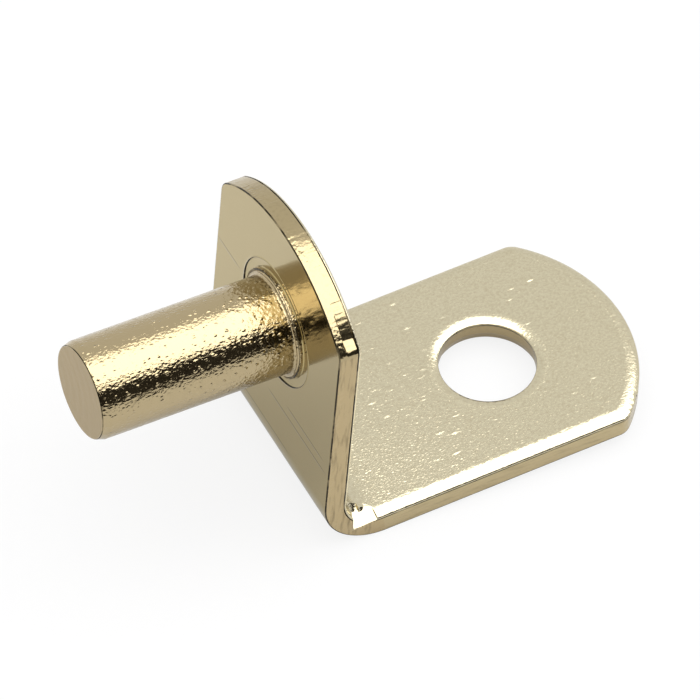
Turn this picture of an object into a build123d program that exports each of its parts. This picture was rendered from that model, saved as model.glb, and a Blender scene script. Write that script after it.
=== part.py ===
from build123d import *
import math
import os

# Shelf support pin: a round steel pin staked into one leg of a bent steel strip.
# The pin goes into a drilled hole in the side of a cabinet, the plate round it seats
# on that side, and the other leg carries the shelf, which a screw may hold from below.
# Frame: the origin is on the pin's axis in the seat plane, +Z is up, -X runs out along
# the pin, and the screw leg runs towards +X. Sizes are in millimetres and degrees.

# Strip
STRIP_THICKNESS = 1.35
STRIP_WIDTH = 12.3
ROLLED_EDGE_RADIUS = 0.38      # the punch side's edge, drawn in as the blank is cut

# Plate, the upright leg
PLATE_TOP = 6.5                # crest of the rounded top above the pin's axis
PLATE_END_RADIUS = 8.4
PLATE_CORNER_RADIUS = 0.6

# Bend
HEEL_DEPTH = 10.9              # where the two outer faces would cross, below the pin's axis
LEG_RISE_ANGLE = 2.9           # the screw leg is bent this much past square
OUTER_BEND_RADIUS = 3.4
INNER_BEND_RADIUS = 1.8

# Screw leg
LEG_REACH = 19.8               # from that crossing to the crest of the rounded end
LEG_END_RADIUS = 8.0
LEG_CORNER_RADIUS = 1.0

# Screw hole
SCREW_HOLE_REACH = 12.4        # from the same crossing, along the leg
SCREW_HOLE_RADIUS = 2.42
SCREW_HOLE_ROLL_RADIUS = 0.28
BREAKOUT_FLARE = 0.18          # the wall tears this much wider towards the underside
BREAKOUT_DEPTH = 0.55

# Pin
PIN_RADIUS = 2.5
PIN_LENGTH = 10.55
LEAD_LENGTH = 0.42
LEAD_DEPTH = 0.13
COLLAR_STEP = 0.33             # how far the collar stands out past the shank
COLLAR_HEIGHT = 0.2
TENON_RADIUS = 1.75            # staking swells the tenon, so it fills its hole
HEAD_FLARE = 0.75              # the tenon is peened over into a countersink in the plate
COUNTERSINK_DEPTH = 0.5
HEAD_DOME = 0.12

# Staking mark, pressed round the collar by the tool that held the plate
MARK_WIDTH = 0.49
MARK_DEPTH = 0.05

MARGIN = 2.0                   # how far the cutting shapes run past the steel

BREAKOUT_RADIUS = SCREW_HOLE_RADIUS + BREAKOUT_FLARE
COLLAR_RADIUS = PIN_RADIUS + COLLAR_STEP
HEAD_RADIUS = TENON_RADIUS + HEAD_FLARE
MARK_RADIUS = COLLAR_RADIUS + MARK_WIDTH


def leg_plane():
    """Underside of the screw leg: x runs along it, z is its upward normal."""
    rise = math.radians(LEG_RISE_ANGLE)
    return Plane(
        origin=(0, 0, -HEEL_DEPTH),
        x_dir=(math.cos(rise), 0, math.sin(rise)),
        z_dir=(-math.sin(rise), 0, math.cos(rise)),
    )


def plate_plane():
    """Seat face of the plate: x runs up it, z points into the steel."""
    return Plane(origin=(0, 0, 0), x_dir=(0, 0, 1), z_dir=(1, 0, 0))


def inner_corner():
    """Where the plate's inner face and the leg's top face would cross."""
    rise = math.radians(LEG_RISE_ANGLE)
    height = STRIP_THICKNESS / math.cos(rise) + STRIP_THICKNESS * math.tan(rise)
    return STRIP_THICKNESS, -HEEL_DEPTH + height


def bent_strip():
    """The strip bent to an L with square, untrimmed ends."""
    rise = math.radians(LEG_RISE_ANGLE)
    along = (math.cos(rise), math.sin(rise))
    top = PLATE_TOP + MARGIN
    reach = LEG_REACH + MARGIN
    corner = inner_corner()
    tip = (reach * along[0], -HEEL_DEPTH + reach * along[1])
    tip_top = (tip[0] - STRIP_THICKNESS * along[1], tip[1] + STRIP_THICKNESS * along[0])
    points = [(0, top), (0, -HEEL_DEPTH), tip, tip_top, corner, (STRIP_THICKNESS, top)]
    outline = make_face(Polyline(*points, close=True))
    heel = outline.vertices().sort_by_distance((0, -HEEL_DEPTH, 0))[0]
    outline = fillet(heel, OUTER_BEND_RADIUS)
    inside = outline.vertices().sort_by_distance((corner[0], corner[1], 0))[0]
    outline = fillet(inside, INNER_BEND_RADIUS)
    return extrude(Plane.XZ * outline, STRIP_WIDTH / 2, both=True)


def end_waste(plane, crest, radius):
    """What the blanking punch takes off one end of the strip to leave an arc."""
    length = radius + MARGIN
    centre = crest - radius
    block = Pos(centre + length / 2, 0) * Rectangle(length, STRIP_WIDTH + 2 * MARGIN)
    waste = block - Pos(centre, 0) * Circle(radius)
    return extrude(plane * waste, STRIP_THICKNESS + MARGIN, both=True)


def end_corner_edges(body, plane, crest, radius):
    """The two edges through the thickness where an end arc meets the sides."""
    half = STRIP_WIDTH / 2
    x = crest - radius + math.sqrt(radius**2 - half**2)
    middle = STRIP_THICKNESS / 2
    spots = [plane.from_local_coords(Vector(x, side * half, middle)) for side in (-1, 1)]
    return [body.edges().sort_by(lambda e: (e.center() - spot).length)[0] for spot in spots]


def on_inner_side(edge):
    """True for an edge that lies on the plate's inner face, the bend or the leg's top."""
    leg = leg_plane()
    for share in (0.0, 0.5, 1.0):
        point = edge.position_at(share)
        height = leg.to_local_coords(point).Z
        on_plate = abs(point.X - STRIP_THICKNESS) < 1e-4
        on_leg = abs(height - STRIP_THICKNESS) < 1e-4
        corner = inner_corner()
        in_bend = (
            STRIP_THICKNESS < point.X < STRIP_THICKNESS + INNER_BEND_RADIUS * 1.1
            and height > STRIP_THICKNESS
            and point.Z < corner[1] + INNER_BEND_RADIUS * 1.1
        )
        if not (on_plate or on_leg or in_bend):
            return False
    return True


def is_fold_line(edge):
    """True for an edge straight across the strip, where a flat meets the bend."""
    run = edge.position_at(1) - edge.position_at(0)
    return abs(run.Y) > 0.99 * run.length and edge.geom_type == GeomType.LINE


def screw_hole_cutter():
    """Punched hole: straight where the punch cut, wider where the slug broke out."""
    far = STRIP_THICKNESS + MARGIN
    slope = (BREAKOUT_RADIUS - SCREW_HOLE_RADIUS) / BREAKOUT_DEPTH
    wide = BREAKOUT_RADIUS + slope * MARGIN
    points = [
        (0, -MARGIN),
        (wide, -MARGIN),
        (SCREW_HOLE_RADIUS, BREAKOUT_DEPTH),
        (SCREW_HOLE_RADIUS, far),
        (0, far),
    ]
    profile = Plane.XZ * make_face(Polyline(*points, close=True))
    cutter = revolve(profile, Axis.Z)
    return leg_plane() * Pos(SCREW_HOLE_REACH, 0, 0) * cutter


def tenon_hole_cutter():
    """Hole for the pin's tenon, countersunk on the inner face for the peened head."""
    start = STRIP_THICKNESS - COUNTERSINK_DEPTH
    slope = (HEAD_RADIUS - TENON_RADIUS) / COUNTERSINK_DEPTH
    points = [
        (-MARGIN, 0),
        (-MARGIN, TENON_RADIUS),
        (start, TENON_RADIUS),
        (STRIP_THICKNESS + MARGIN, HEAD_RADIUS + slope * MARGIN),
        (STRIP_THICKNESS + MARGIN, 0),
    ]
    return revolve(make_face(Polyline(*points, close=True)), Axis.X)


def staking_mark():
    """Shallow ring round the collar in the plate's seat face."""
    ring = Circle(MARK_RADIUS) - Circle(COLLAR_RADIUS)
    return extrude(plate_plane() * ring, MARK_DEPTH) + extrude(plate_plane() * ring, -MARGIN)


def bracket():
    """Plate and screw leg, blanked and bent from one strip."""
    body = bent_strip()
    body = body - end_waste(plate_plane(), PLATE_TOP, PLATE_END_RADIUS)
    body = body - end_waste(leg_plane(), LEG_REACH, LEG_END_RADIUS)
    corners = end_corner_edges(body, plate_plane(), PLATE_TOP, PLATE_END_RADIUS)
    body = fillet(corners, PLATE_CORNER_RADIUS)
    corners = end_corner_edges(body, leg_plane(), LEG_REACH, LEG_END_RADIUS)
    body = fillet(corners, LEG_CORNER_RADIUS)
    rolled = [
        edge for edge in body.edges()
        if on_inner_side(edge) and not is_fold_line(edge)
    ]
    body = fillet(rolled, ROLLED_EDGE_RADIUS)
    body = body - screw_hole_cutter()
    mouth = leg_plane().from_local_coords(Vector(SCREW_HOLE_REACH, 0, STRIP_THICKNESS))
    rims = body.edges().filter_by(GeomType.CIRCLE)
    rim = rims.sort_by(lambda e: (e.arc_center - mouth).length)[0]
    body = fillet([rim], SCREW_HOLE_ROLL_RADIUS)
    body = body - tenon_hole_cutter()
    return body - staking_mark()


def dome_point(share):
    """A point of the peened head's dome, at a share of the head's radius."""
    sphere = (HEAD_RADIUS**2 + HEAD_DOME**2) / (2 * HEAD_DOME)
    centre = STRIP_THICKNESS + HEAD_DOME - sphere
    radius = share * HEAD_RADIUS
    return centre + math.sqrt(sphere**2 - radius**2), radius


def pin():
    """Turned pin: end face, lead, shank, collar, tenon and peened head."""
    crown = STRIP_THICKNESS + HEAD_DOME
    side_line = Polyline(
        (-PIN_LENGTH, 0),
        (-PIN_LENGTH, PIN_RADIUS - LEAD_DEPTH),
        (-PIN_LENGTH + LEAD_LENGTH, PIN_RADIUS),
        (-COLLAR_HEIGHT, PIN_RADIUS),
        (-COLLAR_HEIGHT, COLLAR_RADIUS),
        (0, COLLAR_RADIUS),
        (0, TENON_RADIUS),
        (STRIP_THICKNESS - COUNTERSINK_DEPTH, TENON_RADIUS),
        (STRIP_THICKNESS, HEAD_RADIUS),
    )
    dome = ThreePointArc(
        (STRIP_THICKNESS, HEAD_RADIUS),
        dome_point(0.5),
        (crown, 0),
    )
    axis_line = Line((crown, 0), (-PIN_LENGTH, 0))
    return revolve(make_face([side_line, dome, axis_line]), Axis.X)


os.makedirs("parts", exist_ok=True)
export_step(bracket(), "parts/bracket.step")
export_step(pin(), "parts/pin.step")
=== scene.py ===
import math
import bpy
import bmesh
from mathutils import Matrix, Vector, noise


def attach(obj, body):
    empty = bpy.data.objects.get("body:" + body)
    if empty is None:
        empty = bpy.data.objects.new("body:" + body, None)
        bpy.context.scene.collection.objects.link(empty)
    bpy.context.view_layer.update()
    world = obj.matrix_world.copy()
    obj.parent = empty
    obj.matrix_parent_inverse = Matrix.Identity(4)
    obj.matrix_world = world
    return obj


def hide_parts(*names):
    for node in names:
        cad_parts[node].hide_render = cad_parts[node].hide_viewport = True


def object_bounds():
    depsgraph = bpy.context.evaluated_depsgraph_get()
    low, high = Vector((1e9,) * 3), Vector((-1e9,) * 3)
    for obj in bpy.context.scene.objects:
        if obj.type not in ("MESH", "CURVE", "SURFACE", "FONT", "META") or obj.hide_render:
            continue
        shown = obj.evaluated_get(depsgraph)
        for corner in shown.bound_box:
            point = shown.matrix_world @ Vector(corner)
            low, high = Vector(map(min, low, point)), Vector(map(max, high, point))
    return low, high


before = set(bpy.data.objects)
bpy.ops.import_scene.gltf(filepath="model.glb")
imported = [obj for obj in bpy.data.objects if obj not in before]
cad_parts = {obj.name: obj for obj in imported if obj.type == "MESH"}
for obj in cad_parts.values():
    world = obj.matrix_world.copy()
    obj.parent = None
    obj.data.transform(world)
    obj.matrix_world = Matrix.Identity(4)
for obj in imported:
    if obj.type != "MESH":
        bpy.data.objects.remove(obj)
cad_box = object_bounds()
mm = 0.001

bpy.context.scene.view_settings.view_transform = "Standard"

# Bracket: one strip of mild steel, blanked and punched, then bent to an L and
# brass plated. Its upright leg is the plate, its other leg carries the shelf.
# The punch rolled its edges on the inner side and tore them near the outer side.

strip_thickness = 1.35
strip_width = 12.3
plate_top = 6.5
plate_end_radius = 8.4
plate_corner_radius = 0.6
plate_far_corner_radius = 1.25
heel_depth = 10.9
leg_rise = math.radians(2.9)
outer_bend_radius = 3.4
inner_bend_radius = 1.8
leg_reach = 19.8
leg_end_radius = 8.0
leg_corner_radius = 1.0
screw_hole_reach = 12.4
screw_hole_radius = 2.42
half_width = strip_width / 2
turn = math.pi / 2 + leg_rise
along_leg = Vector((math.cos(leg_rise), 0, math.sin(leg_rise)))
off_leg = Vector((-math.sin(leg_rise), 0, math.cos(leg_rise)))
heel = Vector((0, 0, -heel_depth))

edge_step = 0.07
least_corner = 0.03
plate_end_counts = (16, 380)
leg_end_counts = (16, 190)
flat_margin = 0.12
edge_break = 0.065
torn_share = 0.30
roll_gentle_radius = 1.15
roll_tight_radius = 0.14
roll_change_angle = math.radians(32)
lip_width = 0.055


def mix(low, high, share):
    return low + (high - low) * share


def corner_heights():
    """Heights above the heel of the outer and the inner face's crossing."""
    rise = strip_thickness / math.cos(leg_rise) + strip_thickness * math.tan(leg_rise)
    return 0.0, rise


def bend_starts():
    """Where the plate's outer and inner faces run into the bend, as heights."""
    outer, inner = corner_heights()
    reach = math.tan(turn / 2)
    return (
        -heel_depth + outer + outer_bend_radius * reach,
        -heel_depth + inner + inner_bend_radius * reach,
    )


def leg_starts():
    """Where the leg's outer and inner faces leave the bend, along the leg."""
    inner_height = corner_heights()[1]
    inner = Vector((strip_thickness, 0, inner_height)).dot(along_leg)
    reach = math.tan(turn / 2)
    return outer_bend_radius * reach, inner + inner_bend_radius * reach


def bend_point(share, depth):
    """A point of the bend's side, at a share of the turn and of the thickness."""
    angle = turn * share
    heading = Vector((-math.cos(angle), 0, -math.sin(angle)))
    starts = bend_starts()
    outer = Vector((outer_bend_radius, 0, starts[0])) + heading * outer_bend_radius
    inner_centre = Vector((strip_thickness + inner_bend_radius, 0, starts[1]))
    inner = inner_centre + heading * inner_bend_radius
    return outer.lerp(inner, depth)


def arc_points(centre, radius, start, end, count):
    """Points of an arc with their outward directions."""
    points = []
    for i in range(count + 1):
        angle = mix(start, end, i / count)
        out = (math.cos(angle), math.sin(angle))
        points.append((centre[0] + radius * out[0], centre[1] + radius * out[1], out))
    return points


def rounded_end(crest, radius, corners, counts, inset):
    """One end of the strip, drawn in by an inset, from -Y to +Y as (along, across, out)."""
    centre = crest - radius
    radius -= inset
    corner_count, crown_count = counts
    found = []
    for corner in corners:
        corner = max(corner - inset, least_corner)
        across = half_width - inset - corner
        along = centre + math.sqrt((radius - corner) ** 2 - across**2)
        found.append((corner, along, across, math.atan2(across, along - centre)))
    (near_corner, near_along, near_across, near_lean) = found[0]
    (far_corner, far_along, far_across, far_lean) = found[1]
    quarter = math.pi / 2
    near = arc_points((near_along, -near_across), near_corner, -quarter, -near_lean, corner_count)
    crown = arc_points((centre, 0), radius, -near_lean, far_lean, crown_count)
    far = arc_points((far_along, far_across), far_corner, far_lean, quarter, corner_count)
    return near[:-1] + crown + far[1:]


def plate_place(along, across, depth):
    return Vector((depth, across, along))


def leg_place(along, across, depth):
    return heel + along_leg * along + off_leg * depth + Vector((0, across, 0))


def roll_profile(gentle, tight, change, steps):
    """Rolled edge from the sheared wall up to the flat face, as (inset, depth below it)."""
    inset_all = gentle * math.sin(change) + tight * (1 - math.sin(change))
    drop_all = gentle * (1 - math.cos(change)) + tight * math.cos(change)
    points = []
    for i in range(steps + 1):
        angle = mix(math.pi / 2, change, i / steps)
        inset = tight * (1 - math.sin(angle))
        points.append((inset, drop_all - tight * math.cos(angle)))
    for i in range(1, steps + 1):
        angle = mix(change, 0, i / steps)
        points.append((inset_all - gentle * math.sin(angle), gentle * (1 - math.cos(angle))))
    return points


def edge_profile(roll):
    """Rows of the sheared edge from the outer face to the inner, as (inset, depth, zone)."""
    wall_end = strip_thickness - roll[0][1]
    torn_end = strip_thickness * torn_share
    rows = [(flat_margin, 0.0, "flat"), (edge_break, 0.0, "break")]
    rows.append((edge_break * 0.3, edge_break * 0.3, "break"))
    torn_rows = 12
    for i in range(torn_rows + 1):
        rows.append((0.0, mix(edge_break, torn_end, i / torn_rows), "torn"))
    cut_rows = 9
    for i in range(1, cut_rows + 1):
        rows.append((0.0, mix(torn_end, wall_end - lip_width, i / cut_rows), "cut"))
    rows.append((0.0, wall_end, "lip"))
    for inset, drop in roll[1:]:
        rows.append((inset, strip_thickness - drop, "roll"))
    rows.append((roll[-1][0] + flat_margin, strip_thickness, "flat"))
    return rows


worn_start, corner_start, ground_depth = 3.5, 5.6, 0.16
drag_marks = (
    (2.3, 0.05, 0.012), (0.4, 0.04, 0.005), (-1.4, 0.04, 0.005), (-2.2, 0.04, 0.012),
    (-2.35, 0.03, 0.010), (-2.9, 0.05, 0.012), (-3.5, 0.04, 0.008), (-4.1, 0.05, 0.014),
)


def tear_depth(spot, zone, cut_along, on_crown):
    """How far in from its nominal face the shears left the edge at a spot."""
    if zone == "torn":
        rough = noise.noise(spot * 6.0) + 0.7 * noise.noise(spot * 13.0 + Vector((3, 1, 7)))
        return 0.013 + 0.010 * rough
    if zone == "cut":
        across = Vector((spot.x * cut_along[0], spot.y * cut_along[1], spot.z * cut_along[2]))
        streaks = noise.noise(across * 6.0) + 0.6 * noise.noise(across * 13.0)
        if not on_crown:
            return 0.008 + 0.006 * streaks
        worn = min(1.0, max(0.0, (-spot.y - worn_start) / (corner_start - worn_start)))
        past_corner = max(0.0, (-spot.y - corner_start) / (half_width - corner_start))
        marks = sum(deep * math.exp(-(((spot.y - middle) / wide) ** 2))
                    for middle, wide, deep in drag_marks)
        ground = ground_depth * worn ** 2 * max(0.0, 1 - past_corner)
        return 0.005 + (0.004 + 0.005 * worn) * streaks + marks + ground
    if zone == "lip":
        return 0.016 + 0.10 * max(0.0, noise.noise(spot * 3.5) - 0.08)
    if zone == "roll" and spot.x > 16.6 and spot.y < -4.7:
        return 0.05 * noise.noise(spot * 6.0)
    return 0.0


def strip_edge():
    """The strip's whole edge as columns: a place function and how its streaks run."""
    plate_corners = (plate_corner_radius, plate_far_corner_radius)
    leg_corners = (leg_corner_radius, leg_corner_radius)

    def drawn_in(crest, radius, corners, counts):
        outlines = {}

        def outline(inset):
            if inset not in outlines:
                outlines[inset] = rounded_end(crest, radius, corners, counts, inset)
            return outlines[inset]
        return outline

    plate_end = drawn_in(plate_top, plate_end_radius, plate_corners, plate_end_counts)
    leg_end = drawn_in(leg_reach, leg_end_radius, leg_corners, leg_end_counts)
    plate_count = math.ceil((plate_end(0.0)[0][0] - bend_starts()[0]) / edge_step)
    leg_count = math.ceil((leg_end(0.0)[0][0] - leg_starts()[0]) / edge_step)
    bend_count = math.ceil(turn * outer_bend_radius / edge_step)

    def end_column(place, outline, i):
        def at(inset, depth, wear=0.0):
            along, across, out = outline(inset)[i]
            return place(along - wear * out[0], across - wear * out[1], depth)
        on_plate = place is plate_place
        return at, (0.15, 1.0, 1.0) if on_plate else (1.0, 1.0, 0.15), on_plate

    def side_column(side, starts, outline, place, share):
        def at(inset, depth, wear=0.0):
            low = mix(starts[0], starts[1], depth / strip_thickness)
            high = outline(inset)[0 if side < 0 else -1][0]
            return place(mix(low, high, share), side * (half_width - inset - wear), depth)
        return at, (1.0, 1.0, 0.12) if place is plate_place else (0.12, 1.0, 1.0), False

    def bend_column(side, share):
        def at(inset, depth, wear=0.0):
            through = depth / strip_thickness
            swell = math.sin(math.pi * share) ** 2 * (0.09 * through - 0.03)
            spot = bend_point(share, through)
            return spot + Vector((0, side * (half_width - inset - wear + swell), 0))
        return at, (0.4, 1.0, 0.4), False

    def plate_side(side):
        return [side_column(side, bend_starts(), plate_end, plate_place, i / plate_count)
                for i in range(1, plate_count)]

    def leg_side(side):
        return [side_column(side, leg_starts(), leg_end, leg_place, i / leg_count)
                for i in range(1, leg_count)]

    def bend_side(side):
        return [bend_column(side, i / bend_count) for i in range(bend_count + 1)]

    crown = [end_column(plate_place, plate_end, i) for i in range(len(plate_end(0.0)))]
    nose = [end_column(leg_place, leg_end, i) for i in range(len(leg_end(0.0)))]
    plate_part = plate_side(-1) + crown + plate_side(1)[::-1]
    leg_part = leg_side(1) + nose[::-1] + leg_side(-1)[::-1]
    return plate_part, bend_side(1), leg_part, bend_side(-1)[::-1]


def add_ring_rows(mesh, rings, closed=True):
    """Quads between rows of vertices that lie side by side."""
    faces = []
    for low, high in zip(rings, rings[1:]):
        count = len(low)
        for i in range(count if closed else count - 1):
            j = (i + 1) % count
            faces.append(mesh.faces.new((low[i], low[j], high[j], high[i])))
    return faces


def fill_flat(mesh, loops, finish):
    """A flat face inside its outer loop, round any hole loops."""
    edges = []
    for loop in loops:
        for a, b in zip(loop, loop[1:] + loop[:1]):
            edge = mesh.edges.get((a, b)) or mesh.edges.new((a, b))
            edges.append(edge)
    filled = bmesh.ops.triangle_fill(mesh, use_beauty=True, edges=edges)
    for face in filled["geom"]:
        if isinstance(face, bmesh.types.BMFace):
            face.material_index = finish


def ring(mesh, place, centre_along, radius, depth, count):
    """A circle of vertices in the plate's or the leg's own flat frame."""
    spots = []
    for i in range(count):
        angle = 2 * math.pi * i / count
        along = centre_along + radius * math.cos(angle)
        spots.append(mesh.verts.new(place(along, radius * math.sin(angle), depth)))
    return spots


seat_finish, shelf_finish, rolled_finish, edge_shade_finish, bore_finish = range(5)
crown_finish, upright_finish, level_finish = range(5, 8)
roll = roll_profile(roll_gentle_radius, roll_tight_radius, roll_change_angle, 10)
rows = edge_profile(roll)
strip = bmesh.new()
parts_of_edge = strip_edge()
columns = []
for part in parts_of_edge:
    columns += part
column_total = len(columns)
grid = []
for at, cut_along, on_crown in columns:
    line = []
    for inset, depth, zone in rows:
        spot = at(inset, depth)
        wear = tear_depth(spot, zone, cut_along, on_crown)
        line.append(strip.verts.new(at(inset, depth, wear)))
    grid.append(line)
row_total = len(rows)
plate_len, bend_len, leg_len = (len(parts_of_edge[i]) for i in range(3))
for i in range(column_total):
    if plate_len + bend_len <= i < plate_len + bend_len + leg_len:
        sheared_finish = level_finish
    else:
        sheared_finish = crown_finish if columns[i][2] else upright_finish
    here, there = grid[i], grid[(i + 1) % column_total]
    for k in range(row_total - 1):
        face = strip.faces.new((here[k], here[k + 1], there[k + 1], there[k]))
        zones = {rows[k][2], rows[k + 1][2]}
        if zones == {"flat", "break"}:
            face.material_index = seat_finish
        # Rows at the edge break and the lip get the painted shade line.
        elif zones & {"break", "lip"}:
            face.material_index = edge_shade_finish
        elif zones == {"roll", "flat"}:
            face.material_index = shelf_finish
        elif "roll" in zones:
            face.material_index = rolled_finish
        else:
            face.material_index = sheared_finish

far_bend = range(plate_len, plate_len + bend_len)
leg_range = range(plate_len + bend_len, plate_len + bend_len + leg_len)
near_bend = range(plate_len + bend_len + leg_len, column_total)
across_count = 40
ring_count = 256
for row, finish in ((0, seat_finish), (row_total - 1, shelf_finish)):
    bends = []
    for far, near in zip(far_bend, reversed(near_bend)):
        a, b = grid[near][row], grid[far][row]
        middle = [strip.verts.new(a.co.lerp(b.co, i / across_count)) for i in range(1, across_count)]
        bends.append([a] + middle + [b])
    for face in add_ring_rows(strip, bends, closed=False):
        face.material_index = finish
    if row == 0:
        outer_lines = bends
    else:
        inner_lines = bends

collar_radius = 2.83
mark_radius = 3.32
tenon_radius = 1.75
head_radius = 2.5
countersink_depth = 0.5
mark_rows = [
    (mark_radius + 0.14, 0.0), (mark_radius + 0.05, 0.0), (mark_radius + 0.03, -0.012),
    (mark_radius + 0.01, -0.008), (mark_radius - 0.02, 0.045), (mark_radius - 0.05, 0.05),
    (collar_radius + 0.05, 0.05), (collar_radius + 0.02, 0.0), (tenon_radius, 0.0),
    (tenon_radius, strip_thickness - countersink_depth), (head_radius, strip_thickness - 0.01),
    (head_radius + 0.04, strip_thickness), (head_radius + 0.2, strip_thickness),
]
mark = [ring(strip, plate_place, 0, radius, depth, ring_count) for radius, depth in mark_rows]
mark_faces = add_ring_rows(strip, mark)
for face in mark_faces:
    face.material_index = seat_finish
# Two rows of the ring's groove get the painted shade line.
for face in mark_faces[ring_count * 2:ring_count * 4]:
    face.material_index = edge_shade_finish

hole_roll = roll_profile(0.85, 0.07, roll_change_angle, 9)
hole_rows = [(screw_hole_radius + hole_roll[-1][0] + 0.1, strip_thickness)]
for inset, drop in reversed(hole_roll):
    hole_rows.append((screw_hole_radius + inset, strip_thickness - drop))
hole_rows.append((screw_hole_radius + 0.012, hole_rows[-1][1] - 0.08))
breakout_depth = 0.55
for i in range(1, 5):
    hole_rows.append((screw_hole_radius, mix(hole_rows[-1][1], breakout_depth, i / 4)))
for i in range(1, 9):
    depth = mix(breakout_depth, 0.03, i / 8)
    hole_rows.append((screw_hole_radius + 0.05 + 0.13 * i / 8, depth))
hole_rows.append((screw_hole_radius + 0.2, 0.0))
hole_rows.append((screw_hole_radius + 0.3, 0.0))
hole = [ring(strip, leg_place, screw_hole_reach, radius, depth, ring_count) for radius, depth in hole_rows]
hole_faces = add_ring_rows(strip, hole)
for face in hole_faces:
    face.material_index = bore_finish
for face in hole_faces[:ring_count * len(hole_roll)]:
    face.material_index = rolled_finish
# The row below the hole's roll gets the painted shade line.
for face in hole_faces[ring_count * len(hole_roll):ring_count * (len(hole_roll) + 1)]:
    face.material_index = edge_shade_finish

plate_outer = [grid[i][0] for i in range(plate_len)]
plate_inner = [grid[i][-1] for i in range(plate_len)]
leg_outer = [grid[i][0] for i in leg_range]
leg_inner = [grid[i][-1] for i in leg_range]
fill_flat(strip, [plate_outer + outer_lines[0][::-1], mark[0]], seat_finish)
fill_flat(strip, [plate_inner + inner_lines[0][::-1], mark[-1]], shelf_finish)
fill_flat(strip, [leg_outer + outer_lines[-1], hole[-1]], seat_finish)
fill_flat(strip, [leg_inner + inner_lines[-1], hole[0]], shelf_finish)

# The bending tool squashed a small ragged facet on the near end of the inner bend.
coined_start, coined_end, coined_inset = 1.62, 3.0, 0.78
coined_tilt = math.radians(22)
for vertex in strip.verts:
    spot = vertex.co
    ragged = 0.10 * noise.noise(Vector((spot.x, spot.y, 0)) * 6.0)
    inside = half_width + spot.y
    if coined_start + ragged < spot.x < coined_end and inside < coined_inset + ragged:
        level = corner_heights()[1] - heel_depth + spot.x * math.tan(leg_rise)
        cut = level - (coined_inset - inside) * math.tan(coined_tilt)
        spot.z = min(spot.z, cut)


def finished_piece(name, mesh, sharp_angle):
    """The piece as an object in metres, smooth apart from its sharp edges."""
    bmesh.ops.recalc_face_normals(mesh, faces=mesh.faces)
    bmesh.ops.scale(mesh, vec=(mm, mm, mm), verts=mesh.verts)
    data = bpy.data.meshes.new(name)
    mesh.to_mesh(data)
    mesh.free()
    data.shade_smooth()
    data.set_sharp_from_angle(angle=sharp_angle)
    piece = bpy.data.objects.new(name, data)
    bpy.context.scene.collection.objects.link(piece)
    return piece


def plated_metal(name, colour, roughness):
    """Bright plating: its shader, its node tree and its texture position."""
    material = bpy.data.materials.new(name)
    material.use_nodes = True
    nodes, links = material.node_tree.nodes, material.node_tree.links
    shader = nodes["Principled BSDF"]
    shader.inputs["Base Color"].default_value = (*colour, 1)
    shader.inputs["Metallic"].default_value = 1.0
    shader.inputs["Roughness"].default_value = roughness
    position = nodes.new("ShaderNodeTexCoord")
    return material, nodes, links, shader, position


def textured(nodes, links, position, stretch, scale, detail):
    """A noise over the object's own position, stretched along its axes."""
    mapping = nodes.new("ShaderNodeMapping")
    mapping.inputs["Scale"].default_value = stretch
    texture = nodes.new("ShaderNodeTexNoise")
    texture.inputs["Scale"].default_value = scale
    texture.inputs["Detail"].default_value = detail
    links.new(position.outputs["Object"], mapping.inputs["Vector"])
    links.new(mapping.outputs["Vector"], texture.inputs["Vector"])
    return texture


def figured(nodes, links, operation, first, second):
    """A math node over an output and a number, or over two outputs."""
    node = nodes.new("ShaderNodeMath")
    node.operation = operation
    links.new(first, node.inputs[0])
    if isinstance(second, float):
        node.inputs[1].default_value = second
    else:
        links.new(second, node.inputs[1])
    return node.outputs["Value"]


def ramped(nodes, links, value, start, end, low, high):
    """The value carried from one range to another and held at its ends."""
    node = nodes.new("ShaderNodeMapRange")
    links.new(value, node.inputs["Value"])
    for socket, number in (("From Min", start), ("From Max", end), ("To Min", low), ("To Max", high)):
        node.inputs[socket].default_value = number
    return node.outputs["Result"]


def bumped(nodes, links, height, shader, distance, under=None):
    """The height as a bump of the shader's surface, over another bump if there is one."""
    bump = nodes.new("ShaderNodeBump")
    bump.inputs["Distance"].default_value = distance
    links.new(height, bump.inputs["Height"])
    if under:
        links.new(under.outputs["Normal"], bump.inputs["Normal"])
    links.new(bump.outputs["Normal"], shader.inputs["Normal"])
    return bump


def struck_specks(nodes, links, position, stretch, scale, size, kept):
    """Small marks left by tumbling: a kept share of scattered spots, each of one size."""
    mapping = nodes.new("ShaderNodeMapping")
    mapping.inputs["Scale"].default_value = stretch
    mapping.inputs["Rotation"].default_value = (0, 0, 0.25)
    cells = nodes.new("ShaderNodeTexVoronoi")
    cells.inputs["Scale"].default_value = scale
    links.new(position.outputs["Object"], mapping.inputs["Vector"])
    links.new(mapping.outputs["Vector"], cells.inputs["Vector"])
    spots = ramped(nodes, links, cells.outputs["Distance"], 0.0, size, 1.0, 0.0)
    chance = nodes.new("ShaderNodeSeparateColor")
    links.new(cells.outputs["Color"], chance.inputs["Color"])
    chosen = figured(nodes, links, "LESS_THAN", chance.outputs["Red"], kept)
    return figured(nodes, links, "MULTIPLY", spots, chosen)


def scored_line(nodes, links, spot, height, middle, half):
    """One faint scored line level across the plate, at a height and a stretch of its width."""
    rise = figured(nodes, links, "SUBTRACT", spot.outputs["Z"], height * mm)
    rise = figured(nodes, links, "ABSOLUTE", rise, 0.0)
    line = ramped(nodes, links, rise, 0.0, 0.06 * mm, 1.0, 0.0)
    aside = figured(nodes, links, "SUBTRACT", spot.outputs["Y"], middle * mm)
    aside = figured(nodes, links, "ABSOLUTE", aside, 0.0)
    inside = ramped(nodes, links, aside, (half - 0.6) * mm, half * mm, 1.0, 0.0)
    return figured(nodes, links, "MULTIPLY", line, inside)


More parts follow.
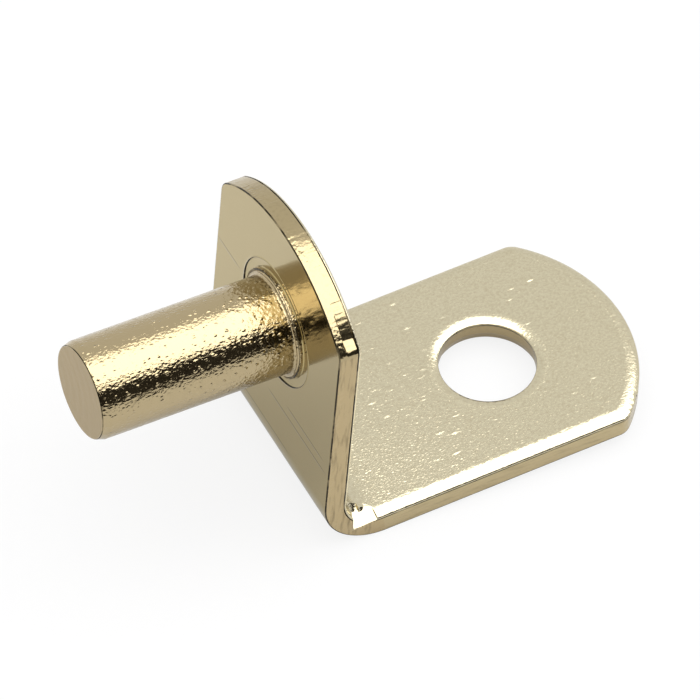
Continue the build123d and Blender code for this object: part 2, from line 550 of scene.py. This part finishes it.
def stained(nodes, links, shader, share, clean, dark):
    """The plating's colour, darkened by a share that varies over the surface."""
    blend = nodes.new("ShaderNodeMix")
    blend.data_type = "RGBA"
    links.new(share, blend.inputs["Factor"])
    blend.inputs[6].default_value = (*clean, 1)
    blend.inputs[7].default_value = (*dark, 1)
    links.new(blend.outputs[2], shader.inputs["Base Color"])


def seat_brass():
    """The outer face: bright, nearly mirror flat, scored by the bending tool."""
    clean, scored = (0.41, 0.33, 0.158), (0.16, 0.125, 0.06)
    material, nodes, links, shader, position = plated_metal("seat_brass", clean, 0.12)
    spot = nodes.new("ShaderNodeSeparateXYZ")
    links.new(position.outputs["Object"], spot.inputs["Vector"])
    lines = scored_line(nodes, links, spot, 0.0, 5.0, 1.4)
    for height, middle, half in ((-5.05, -2.8, 3.1), (-4.4, -3.6, 2.0), (-7.4, 1.0, 3.4), (-6.3, 3.2, 1.7)):
        one = scored_line(nodes, links, spot, height, middle, half)
        lines = figured(nodes, links, "ADD", lines, one)
    under = bumped(nodes, links, lines, shader, 0.000008)
    stained(nodes, links, shader, lines, clean, scored)
    grain = textured(nodes, links, position, (1, 1, 1), 1100, 3)
    bumped(nodes, links, grain.outputs["Fac"], shader, 0.000002, under)
    return material


def mottled(nodes, links, position, shader):
    """The inner side's slightly uneven plating, set lighter overall than the outer face as painted light."""
    mottle = textured(nodes, links, position, (0.8, 1, 1), 9000, 4)
    share = ramped(nodes, links, mottle.outputs["Fac"], 0.40, 0.70, 0.0, 1.0)
    stained(nodes, links, shader, share, (0.59, 0.535, 0.38), (0.52, 0.46, 0.315))


def shelf_brass():
    """The inner face and the leg's top: dense fine pits by the bend, fewer and longer ticks beyond."""
    # Its plating is set lighter than the outer face's as painted light.
    material, nodes, links, shader, position = plated_metal("shelf_brass", (0.567, 0.51, 0.363), 0.16)
    spot = nodes.new("ShaderNodeSeparateXYZ")
    links.new(position.outputs["Object"], spot.inputs["Vector"])
    grain = textured(nodes, links, position, (0.8, 1, 1), 10500, 2)
    pitted = ramped(nodes, links, spot.outputs["X"], 0.004, 0.014, 1.0, 0.45)
    near = ramped(nodes, links, spot.outputs["Y"], -0.003, 0.005, 1.0, 0.5)
    pitted = figured(nodes, links, "MULTIPLY", pitted, near)
    pits = figured(nodes, links, "MULTIPLY", grain.outputs["Fac"], pitted)
    under = bumped(nodes, links, pits, shader, 0.000015)
    fine = struck_specks(nodes, links, position, (0.7, 1, 1), 6200, 0.42, 0.4)
    fine = figured(nodes, links, "MULTIPLY", fine, pitted)
    under = bumped(nodes, links, fine, shader, 0.0000075, under)
    ticks = struck_specks(nodes, links, position, (0.45, 1, 1), 2400, 0.30, 0.24)
    crowd = textured(nodes, links, position, (1, 1, 1), 260, 2)
    crowded = ramped(nodes, links, crowd.outputs["Fac"], 0.42, 0.58, 0.5, 1.0)
    ticks = figured(nodes, links, "MULTIPLY", ticks, crowded)
    bumped(nodes, links, ticks, shader, 0.000019, under)
    mottled(nodes, links, position, shader)
    return material


def sheared_brass(name, clean, run, stained_most):
    """The cut and torn edge, plated over its tool marks, with stains that run along it."""
    dark = (0.21, 0.16, 0.085)
    material, nodes, links, shader, position = plated_metal(name, clean, 0.17)
    grain = textured(nodes, links, position, (1, 1, 1), 6000, 3)
    under = bumped(nodes, links, grain.outputs["Fac"], shader, 0.000007)
    stain = textured(nodes, links, position, run, 5200, 4)
    share = ramped(nodes, links, stain.outputs["Fac"], 0.50, 0.78, 0.0, stained_most)
    stained(nodes, links, shader, share, clean, dark)
    bumped(nodes, links, stain.outputs["Fac"], shader, 0.000005, under)
    return material


def rolled_brass():
    """The rolled edge, stretched as the punch went in and lightly grained by it."""
    material, nodes, links, shader, position = plated_metal("rolled_brass", (0.567, 0.51, 0.363), 0.2)
    grain = textured(nodes, links, position, (0.8, 1, 1), 6000, 2)
    bumped(nodes, links, grain.outputs["Fac"], shader, 0.000018)
    mottled(nodes, links, position, shader)
    return material


def edge_shade_brass():
    """A thin dark line painted along a sharp edge as painted shade, broken in places by a lighter brown."""
    bright, dark = (0.26, 0.21, 0.12), (0.022, 0.018, 0.010)
    material, nodes, links, shader, position = plated_metal("edge_shade_brass", dark, 0.4)
    broken = textured(nodes, links, position, (1, 1, 1), 900, 4)
    share = ramped(nodes, links, broken.outputs["Fac"], 0.52, 0.66, 1.0, 0.0)
    stained(nodes, links, shader, share, bright, dark)
    return material


def bore_brass():
    """The screw hole's wall, set darker than the faces as painted shade in the recess."""
    return plated_metal("bore_brass", (0.34, 0.27, 0.15), 0.2)[0]


bracket = finished_piece("bent_strip", strip, math.radians(32))
for finish in (seat_brass(), shelf_brass(), rolled_brass(), edge_shade_brass(), bore_brass(),
               # The three sheared edge finishes are one plating. Their different brightness is painted light
               # and shade, set to how lit each stretch of edge looks.
               sheared_brass("crown_brass", (0.40, 0.325, 0.185), (1, 1, 1), 0.25),
               sheared_brass("upright_brass", (0.44, 0.345, 0.19), (1, 1, 0.12), 1.0),
               sheared_brass("level_brass", (0.47, 0.385, 0.22), (0.12, 1, 1), 0.5)):
    bracket.data.materials.append(finish)
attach(bracket, "root")
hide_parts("bracket")

# Pin: a round steel pin turned with a short lead and a low collar, tumbled, staked
# through the plate and plated with it. Tumbling left its shank finely dimpled like
# orange peel, and its end keeps the faint crescents of the parting tool.

pin_radius = 2.5
pin_length = 10.55
lead_length = 0.42
lead_depth = 0.13
collar_height = 0.2
head_dome = 0.12
shank_step = 0.048
round_count = 320
face_steps = 25


def pin_rows():
    """The turned outline from the end face to the peened head, as (x, radius, zone)."""
    rows = []
    for i in range(face_steps + 1):
        rows.append((-pin_length, mix(0.02, pin_radius - lead_depth - 0.05, i / face_steps), "face"))
    rim = pin_radius - lead_depth
    rows += [(-pin_length + 0.006, rim - 0.02, "lead"), (-pin_length + 0.05, rim + 0.01, "crease")]
    for i in range(1, 6):
        share = i / 5
        rows.append((mix(-pin_length + 0.05, -pin_length + lead_length - 0.05, share),
                     mix(rim + 0.01, pin_radius - 0.02, share), "lead"))
    rows.append((-pin_length + lead_length - 0.01, pin_radius - 0.004, "lead"))
    shank_start = -pin_length + lead_length + 0.03
    shank_end = -collar_height - 0.12
    count = math.ceil((shank_end - shank_start) / shank_step)
    for i in range(count + 1):
        rows.append((mix(shank_start, shank_end, i / count), pin_radius, "shank"))
    for i in range(1, 6):
        angle = mix(0, math.pi / 2, i / 5)
        rows.append((shank_end + 0.12 * math.sin(angle), pin_radius + 0.12 * (1 - math.cos(angle)), "collar"))
    rows += [
        (-collar_height - 0.02, 2.68, "collar"), (-collar_height + 0.05, 2.72, "collar"),
        (-collar_height + 0.05, 2.76, "crease"), (-collar_height + 0.01, 2.79, "collar"),
        (-collar_height + 0.03, 2.82, "crease"), (-collar_height + 0.08, collar_radius, "collar"),
        (0.0, collar_radius, "collar"), (0.0, tenon_radius, "hidden"),
        (strip_thickness - countersink_depth, tenon_radius, "hidden"),
        (strip_thickness - 0.02, head_radius - 0.02, "hidden"),
    ]
    sphere = (head_radius ** 2 + head_dome ** 2) / (2 * head_dome)
    for i in range(1, 13):
        radius = mix(head_radius - 0.03, 0.02, i / 12)
        lift = math.sqrt(sphere ** 2 - radius ** 2) - (sphere - head_dome)
        rows.append((strip_thickness + lift, radius, "head"))
    return rows


def dimple(spot, zone):
    """How far a spot stands off the turned outline."""
    if zone == "shank":
        base = max(0.0, 1 + spot.x / 3.5)
        drawn = Vector((spot.x * 0.75, spot.y, spot.z))
        peel = noise.noise(drawn * 4.6) + 0.7 * noise.noise(drawn * 9.0 + Vector((5, 2, 9)))
        patchy = 0.75 + 0.5 * noise.noise(spot * 0.9)
        return (0.0080 + 0.005 * base) * patchy * peel
    if zone == "face":
        swept = math.hypot(spot.y - 2.6, spot.z + 1.2)
        return 0.0016 * math.sin(swept * 9.0) * max(0.0, noise.noise(spot * 0.8) + 0.4)
    if zone == "head":
        return 0.010 * noise.noise(spot * 2.2)
    return 0.0


turned = bmesh.new()
turned_rings = []
for x, radius, zone in pin_rows():
    line = []
    for i in range(round_count):
        angle = 2 * math.pi * i / round_count
        out = Vector((0, math.cos(angle), math.sin(angle)))
        spot = Vector((x, 0, 0)) + out * radius
        push = dimple(spot, zone)
        spot = spot + (out * push if zone == "shank" else Vector((push, 0, 0)))
        line.append(turned.verts.new(spot))
    turned_rings.append(line)
turned_faces = add_ring_rows(turned, turned_rings)
for face in turned_faces[:face_steps * round_count]:
    face.material_index = 1
outline_zones = [zone for x, radius, zone in pin_rows()]
# The pin's crease rows get the painted shade line.
for row, zone in enumerate(outline_zones[1:]):
    if zone == "crease":
        for face in turned_faces[row * round_count:(row + 1) * round_count]:
            face.material_index = 2
turned.faces.new(turned_rings[0]).material_index = 1
turned.faces.new(turned_rings[-1])


def shank_brass():
    """The shank's plating, finely pitted by tumbling."""
    material, nodes, links, shader, position = plated_metal("shank_brass", (0.42, 0.34, 0.20), 0.10)
    grain = textured(nodes, links, position, (0.8, 1, 1), 7500, 2)
    under = bumped(nodes, links, grain.outputs["Fac"], shader, 0.000027)
    struck = struck_specks(nodes, links, position, (0.7, 1, 1), 4900, 0.42, 0.5)
    bumped(nodes, links, struck, shader, 0.000025, under)
    return material


def end_brass():
    """The parted end face, set darker than the shank as painted shade."""
    material, nodes, links, shader, position = plated_metal("end_brass", (0.315, 0.23, 0.10), 0.16)
    grain = textured(nodes, links, position, (1, 1, 1), 5000, 3)
    bumped(nodes, links, grain.outputs["Fac"], shader, 0.000005)
    return material


pin = finished_piece("turned_pin", turned, math.radians(40))
pin.data.materials.append(shank_brass())
pin.data.materials.append(end_brass())
pin.data.materials.append(bpy.data.materials["edge_shade_brass"])
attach(pin, "root")
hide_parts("pin")

# Studio: a floor under the heel that is white to the eye and in the metal, a soft light
# overhead, and a dark card on the camera's side that gives the pin its dark band.

floor_clearance = 0.02 * mm
floor_white = (0.58, 0.58, 0.58)
white_share_seen = 0.85
white_share_mirrored = 0.25
floor_height = cad_box[0][2] - floor_clearance


def studio_board(name, centre, across, upward, colour, glow=0.0, seen=True):
    """A flat board of the studio, not part of the object, from its two half sides."""
    centre, across, upward = Vector(centre), Vector(across), Vector(upward)
    corners = [centre - across - upward, centre + across - upward,
               centre + across + upward, centre - across + upward]
    data = bpy.data.meshes.new(name)
    data.from_pydata(corners, [], [(0, 1, 2, 3)])
    board = bpy.data.objects.new(name, data)
    bpy.context.scene.collection.objects.link(board)
    material = bpy.data.materials.new(name)
    material.use_nodes = True
    shader = material.node_tree.nodes["Principled BSDF"]
    shader.inputs["Base Color"].default_value = (*colour, 1)
    shader.inputs["Roughness"].default_value = 0.9
    shader.inputs["Specular IOR Level"].default_value = 0.0
    if glow:
        shader.inputs["Emission Color"].default_value = (1, 1, 1, 1)
        shader.inputs["Emission Strength"].default_value = glow
    data.materials.append(material)
    board.visible_camera = seen
    return board


card_distance = 0.45
card_height = card_distance * math.tan(math.radians(46.5))
light_height = 0.36
light_back = light_height / math.tan(math.radians(66.5))
light_front = -light_height / math.tan(math.radians(49.0))
floor = studio_board("floor", (0, 0, floor_height), (3, 0, 0), (0, 3, 0), floor_white)
floor_tree = floor.data.materials[0].node_tree
rays = floor_tree.nodes.new("ShaderNodeLightPath")
mirrored = figured(floor_tree.nodes, floor_tree.links, "MAXIMUM",
                   rays.outputs["Is Glossy Ray"], rays.outputs["Is Transmission Ray"])
mirrored = figured(floor_tree.nodes, floor_tree.links, "MULTIPLY", mirrored, white_share_mirrored)
straight = figured(floor_tree.nodes, floor_tree.links, "MULTIPLY",
                   rays.outputs["Is Camera Ray"], white_share_seen)
white_share = figured(floor_tree.nodes, floor_tree.links, "MAXIMUM", mirrored, straight)
white = floor_tree.nodes.new("ShaderNodeEmission")
blend = floor_tree.nodes.new("ShaderNodeMixShader")
floor_tree.links.new(white_share, blend.inputs["Fac"])
floor_tree.links.new(floor_tree.nodes["Principled BSDF"].outputs["BSDF"], blend.inputs[1])
floor_tree.links.new(white.outputs["Emission"], blend.inputs[2])
floor_tree.links.new(blend.outputs["Shader"], floor_tree.nodes["Material Output"].inputs["Surface"])
studio_board("dark_card", (0.10, -card_distance, floor_height + card_height / 2),
             (0.7, 0, 0), (0, 0, card_height / 2), (0.03, 0.028, 0.025), seen=False)
studio_board("overhead_light", (0.14, (light_back + light_front) / 2, light_height),
             (0.40, 0, 0), (0, (light_back - light_front) / 2, 0), (0.9, 0.9, 0.9),
             glow=3.0, seen=False)

world = bpy.data.worlds.new("studio")
world.use_nodes = True
world.node_tree.nodes["Background"].inputs["Color"].default_value = (1, 1, 1, 1)
world.node_tree.nodes["Background"].inputs["Strength"].default_value = 1.0
bpy.context.scene.world = world

# Camera: a long lens, a little above and to the left of the pin's end.

camera_turn = math.radians(-31.92)
camera_rise = math.radians(49.51)
camera_roll = math.radians(-5.55)
camera_distance = 0.5351
sideways = 0.003575
upwards = -0.001318
lens_in_frame_widths = 15.897
back = Vector((
    math.sin(camera_turn) * math.cos(camera_rise),
    -math.cos(camera_turn) * math.cos(camera_rise),
    math.sin(camera_rise),
))
level_right = Vector((math.cos(camera_turn), math.sin(camera_turn), 0))
level_up = back.cross(level_right)
right = level_right * math.cos(camera_roll) - level_up * math.sin(camera_roll)
up = level_right * math.sin(camera_roll) + level_up * math.cos(camera_roll)
camera_data = bpy.data.cameras.new("camera")
camera_data.sensor_width = 36
camera_data.lens = 36 * lens_in_frame_widths
camera_data.clip_end = 20
camera = bpy.data.objects.new("camera", camera_data)
bpy.context.scene.collection.objects.link(camera)
spot = right * sideways + up * upwards + back * camera_distance
camera.matrix_world = Matrix.Translation(spot) @ Matrix((right, up, back)).transposed().to_4x4()
bpy.context.scene.camera = camera
